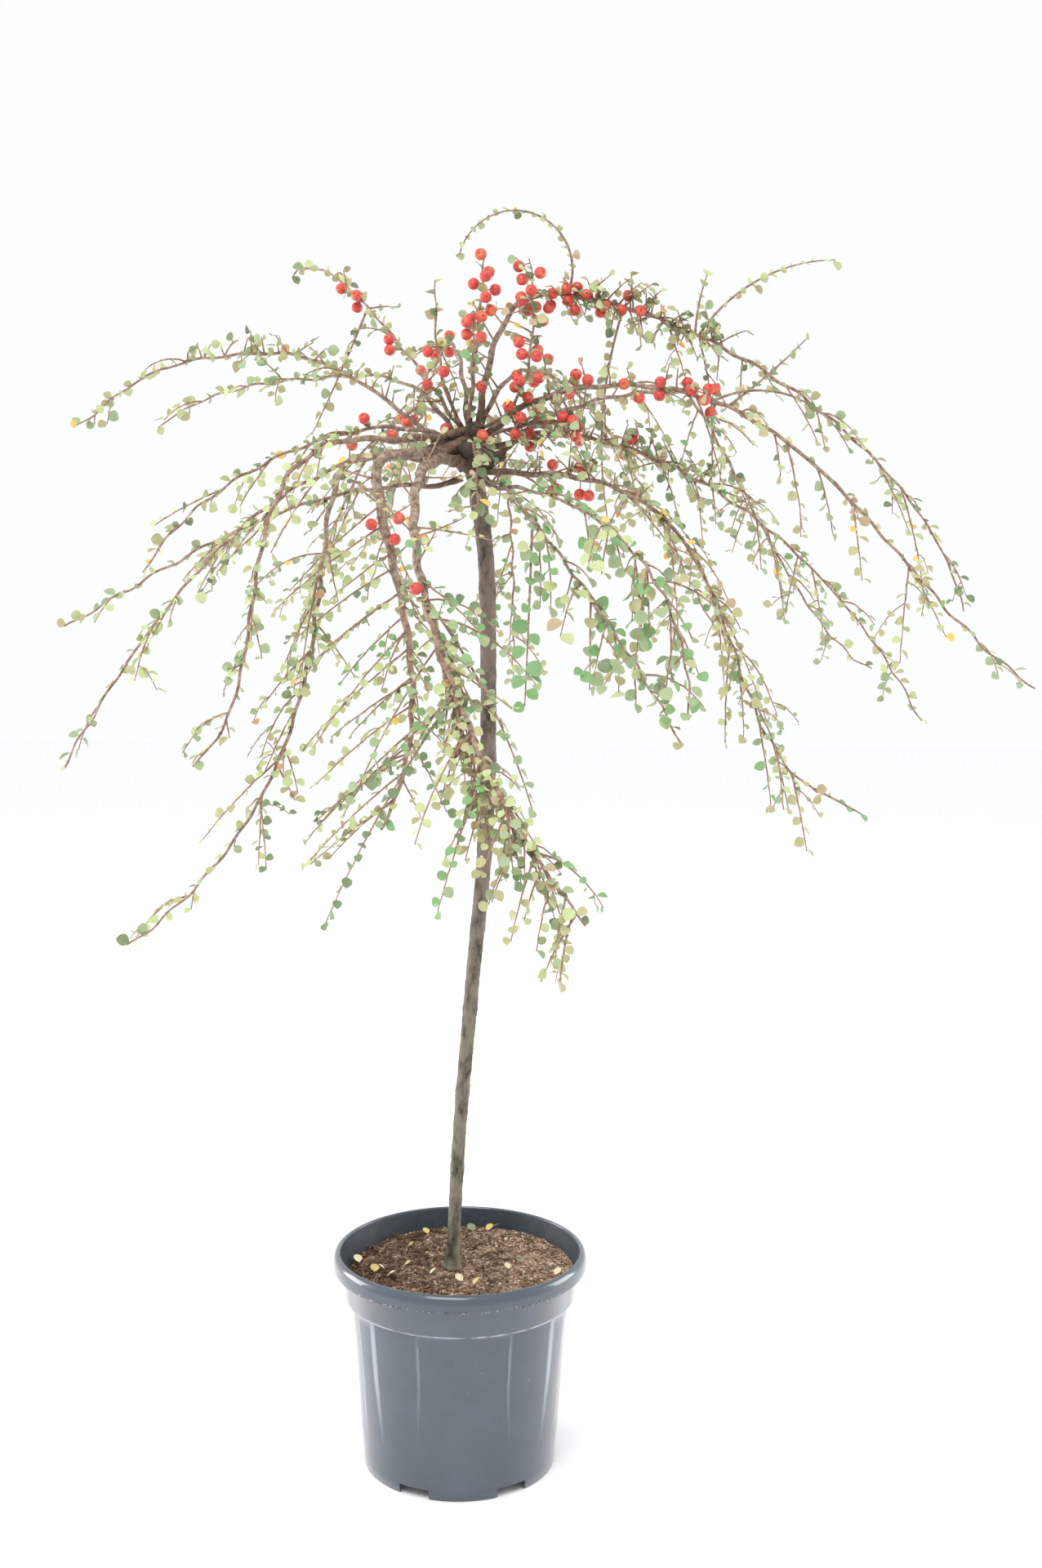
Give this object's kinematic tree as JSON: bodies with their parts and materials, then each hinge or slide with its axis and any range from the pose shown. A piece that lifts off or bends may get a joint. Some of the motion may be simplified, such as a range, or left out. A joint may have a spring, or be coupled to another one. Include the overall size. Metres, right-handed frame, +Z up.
{
  "type": "potted standard cotoneaster",
  "caption": "A weeping cotoneaster grafted on a clear stem, with red berries and small round leaves, in a round dark grey nursery pot with a rolled rim.",
  "frame": {"origin": "the middle of the flat underside of the pot", "axes": "+Z up; the front view of the picture looks along +Y, with +X to its right"},
  "size_m": [1.0003, 0.8515, 1.3081],
  "materials": {
    "pot_plastic": "satin injection-moulded polypropylene",
    "soil": "loose crumbly peat and bark potting mix",
    "stem_bark": "smooth grey-olive bark with darker patches",
    "bough_bark": "dull red-brown bark with a grey bloom",
    "foliage": "small matt grey-green to yellow-green leaves"
  },
  "bodies": {
    "root": {"pot": "pot_plastic", "soil": "soil", "trunk": "stem_bark", "bough_right_top": "bough_bark", "bough_right_long": "bough_bark", "bough_right_front": "bough_bark", "bough_right_low": "bough_bark", "bough_right_back": "bough_bark", "bough_front_right": "bough_bark", "bough_front_low": "bough_bark", "bough_front_sweep": "bough_bark", "bough_front_hang": "bough_bark", "bough_left_steep": "bough_bark", "bough_left_long": "bough_bark", "bough_left_low": "bough_bark", "bough_left_wide": "bough_bark", "bough_left_short": "bough_bark", "bough_left_arch": "bough_bark", "bough_left_upper": "bough_bark", "bough_left_raised": "bough_bark", "bough_back_right": "bough_bark", "bough_back_steep": "bough_bark", "bough_back_arch": "bough_bark", "bough_back_left": "bough_bark", "foliage_right_top": "foliage", "foliage_right_long": "foliage", "foliage_right_front": "foliage", "foliage_right_low": "foliage", "foliage_right_back": "foliage", "foliage_front_right": "foliage", "foliage_front_low": "foliage", "foliage_front_sweep": "foliage", "foliage_front_hang": "foliage", "foliage_left_steep": "foliage", "foliage_left_long": "foliage", "foliage_left_low": "foliage", "foliage_left_wide": "foliage", "foliage_left_short": "foliage", "foliage_left_arch": "foliage", "foliage_left_upper": "foliage", "foliage_left_raised": "foliage", "foliage_back_right": "foliage", "foliage_back_steep": "foliage", "foliage_back_arch": "foliage", "foliage_back_left": "foliage", "foliage_crown_upright": "foliage", "foliage_crown_right": "foliage", "foliage_crown_left": "foliage", "foliage_crown_front": "foliage", "foliage_crown_low": "foliage", "foliage_crown_back": "foliage"}
  },
  "joints": []
}
